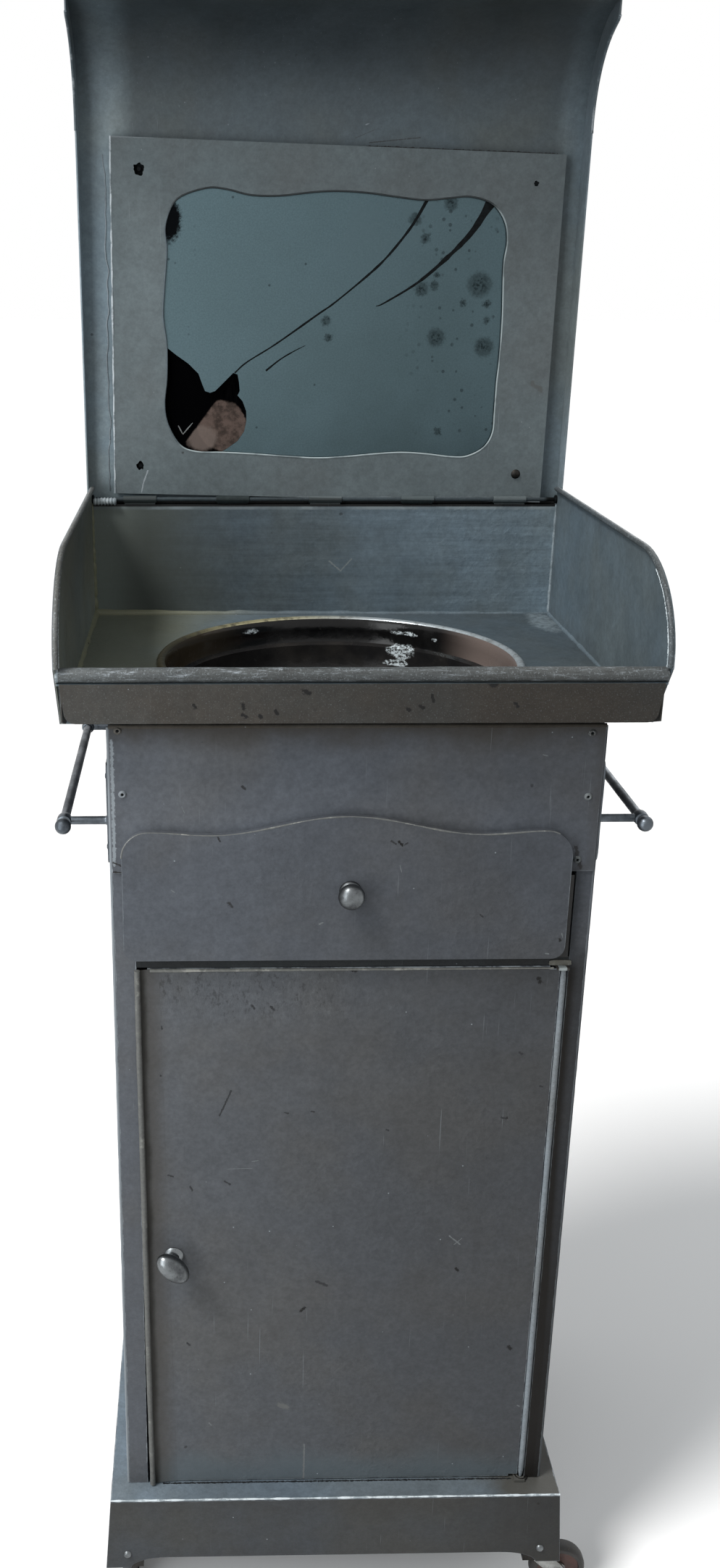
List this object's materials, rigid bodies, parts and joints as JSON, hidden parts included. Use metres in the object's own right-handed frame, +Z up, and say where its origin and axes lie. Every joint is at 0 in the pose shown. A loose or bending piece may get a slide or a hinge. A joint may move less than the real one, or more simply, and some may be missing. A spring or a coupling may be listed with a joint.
{
  "type": "washstand",
  "caption": "Sheet-metal washstand on swivel casters: door and drawer below a winged tray with a drop-in basin, and a hinged bonnet lid that carries a mirror.",
  "frame": {"origin": "on the floor, below the middle of the outline with the lid open", "axes": "+Z up, -Y towards the front with the door and drawer, +X to the right of someone facing the front"},
  "size_m": [0.452, 0.3896, 1.3347],
  "materials": {
    "grey_paint": "worn satin blue-grey paint with chips and scratches",
    "dark_paint": "dark grey satin paint",
    "painted_wood": "worn satin grey paint over wood",
    "bare_metal": "dull worn plating",
    "dark_metal": "dark oxidised metal",
    "enamel": "glossy dark enamel with a worn bright rim",
    "mirror": "aged silvering, cracked, with foxing spots",
    "board": "dark stained backing board",
    "wheel": "rust-brown disc with a black worn tread"
  },
  "bodies": {
    "stand": {"plinth_skirt": "dark_paint", "base_plate": "grey_paint", "caster_bracket_front_left": "dark_metal", "caster_bracket_front_right": "dark_metal", "caster_bracket_back_left": "dark_metal", "caster_bracket_back_right": "dark_metal", "foot_bolt_left": "bare_metal", "foot_bolt_right": "bare_metal", "side_panel_left": "grey_paint", "side_panel_right": "grey_paint", "back_panel": "grey_paint", "stile_left": "grey_paint", "stile_right": "grey_paint", "apron": "grey_paint", "drawer_rail": "dark_paint", "drawer_deck": "dark_paint", "door_hinge_bracket": "bare_metal", "door_hinge_socket": "bare_metal", "tray_floor": "grey_paint", "tray_front_wall": "grey_paint", "tray_fascia": "grey_paint", "front_lip_roll": "grey_paint", "wing_left": "grey_paint", "wing_right": "grey_paint", "backsplash": "grey_paint", "lid_hinge_rod": "bare_metal", "towel_bar_left": "bare_metal", "towel_bar_right": "bare_metal", "towel_arm_front_left": "bare_metal", "towel_arm_front_right": "bare_metal", "towel_arm_back_left": "bare_metal", "towel_arm_back_right": "bare_metal"},
    "lid": {"lid_sheet": "grey_paint", "lid_cheek_left": "grey_paint", "lid_cheek_right": "grey_paint", "lid_knuckle_left": "grey_paint", "lid_knuckle_right": "grey_paint", "mirror_frame": "painted_wood", "mirror_glass": "mirror", "mirror_backing": "board", "frame_screw_low_left": "dark_metal", "frame_screw_low_right": "dark_metal", "frame_screw_top_left": "dark_metal", "frame_screw_top_right": "dark_metal"},
    "door": {"door_panel": "grey_paint", "door_hinge_pin": "bare_metal"},
    "latch": {"door_knob": "bare_metal", "door_latch": "dark_metal"},
    "drawer": {"drawer_front": "painted_wood", "drawer_box": "dark_paint", "drawer_knob": "bare_metal"},
    "basin": {"basin": "enamel"},
    "caster_front_left": {"caster_fork_front_left": "bare_metal"},
    "wheel_front_left": {"caster_wheel_front_left": "wheel"},
    "caster_front_right": {"caster_fork_front_right": "bare_metal"},
    "wheel_front_right": {"caster_wheel_front_right": "wheel"},
    "caster_back_left": {"caster_fork_back_left": "bare_metal"},
    "wheel_back_left": {"caster_wheel_back_left": "wheel"},
    "caster_back_right": {"caster_fork_back_right": "bare_metal"},
    "wheel_back_right": {"caster_wheel_back_right": "wheel"}
  },
  "joints": [
    {"name": "lid_hinge", "type": "hinge", "parent": "stand", "child": "lid", "pos_m": [0, 0.1806, 0.9381], "axis": [-1, 0, 0], "range_deg": [-90, 0]},
    {"name": "door_hinge", "type": "hinge", "parent": "stand", "child": "door", "pos_m": [0.1646, -0.1633, 0.1329], "axis": [0, 0, 1], "range_deg": [0, 110]},
    {"name": "latch_turn", "type": "hinge", "parent": "door", "child": "latch", "pos_m": [-0.1385, -0.1648, 0.3719], "axis": [0, -1, 0], "range_deg": [-45, 45]},
    {"name": "drawer_slide", "type": "slide", "parent": "stand", "child": "drawer", "axis": [0, -1, 0], "range_m": [0, 0.22]},
    {"name": "basin_lift", "type": "slide", "parent": "stand", "child": "basin", "axis": [0, 0, 1], "range_m": [0, 0.15]},
    {"name": "caster_swivel_front_left", "type": "hinge", "parent": "stand", "child": "caster_front_left", "pos_m": [-0.18199, -0.1583, 0.0567], "axis": [0, 0, 1], "continuous": true},
    {"name": "caster_roll_front_left", "type": "hinge", "parent": "caster_front_left", "child": "wheel_front_left", "pos_m": [-0.18199, -0.1343, 0.025], "axis": [-1, 0, 0], "continuous": true},
    {"name": "caster_swivel_front_right", "type": "hinge", "parent": "stand", "child": "caster_front_right", "pos_m": [0.18199, -0.1583, 0.0567], "axis": [0, 0, 1], "continuous": true},
    {"name": "caster_roll_front_right", "type": "hinge", "parent": "caster_front_right", "child": "wheel_front_right", "pos_m": [0.20599, -0.1583, 0.025], "axis": [0, 1, 0], "continuous": true},
    {"name": "caster_swivel_back_left", "type": "hinge", "parent": "stand", "child": "caster_back_left", "pos_m": [-0.18199, 0.1552, 0.0567], "axis": [0, 0, 1], "continuous": true},
    {"name": "caster_roll_back_left", "type": "hinge", "parent": "caster_back_left", "child": "wheel_back_left", "pos_m": [-0.15944, 0.16341, 0.025], "axis": [-0.342, 0.9397, 0], "continuous": true},
    {"name": "caster_swivel_back_right", "type": "hinge", "parent": "stand", "child": "caster_back_right", "pos_m": [0.18199, 0.1552, 0.0567], "axis": [0, 0, 1], "continuous": true},
    {"name": "caster_roll_back_right", "type": "hinge", "parent": "caster_back_right", "child": "wheel_back_right", "pos_m": [0.18199, 0.1312, 0.025], "axis": [1, 0, 0], "continuous": true}
  ]
}
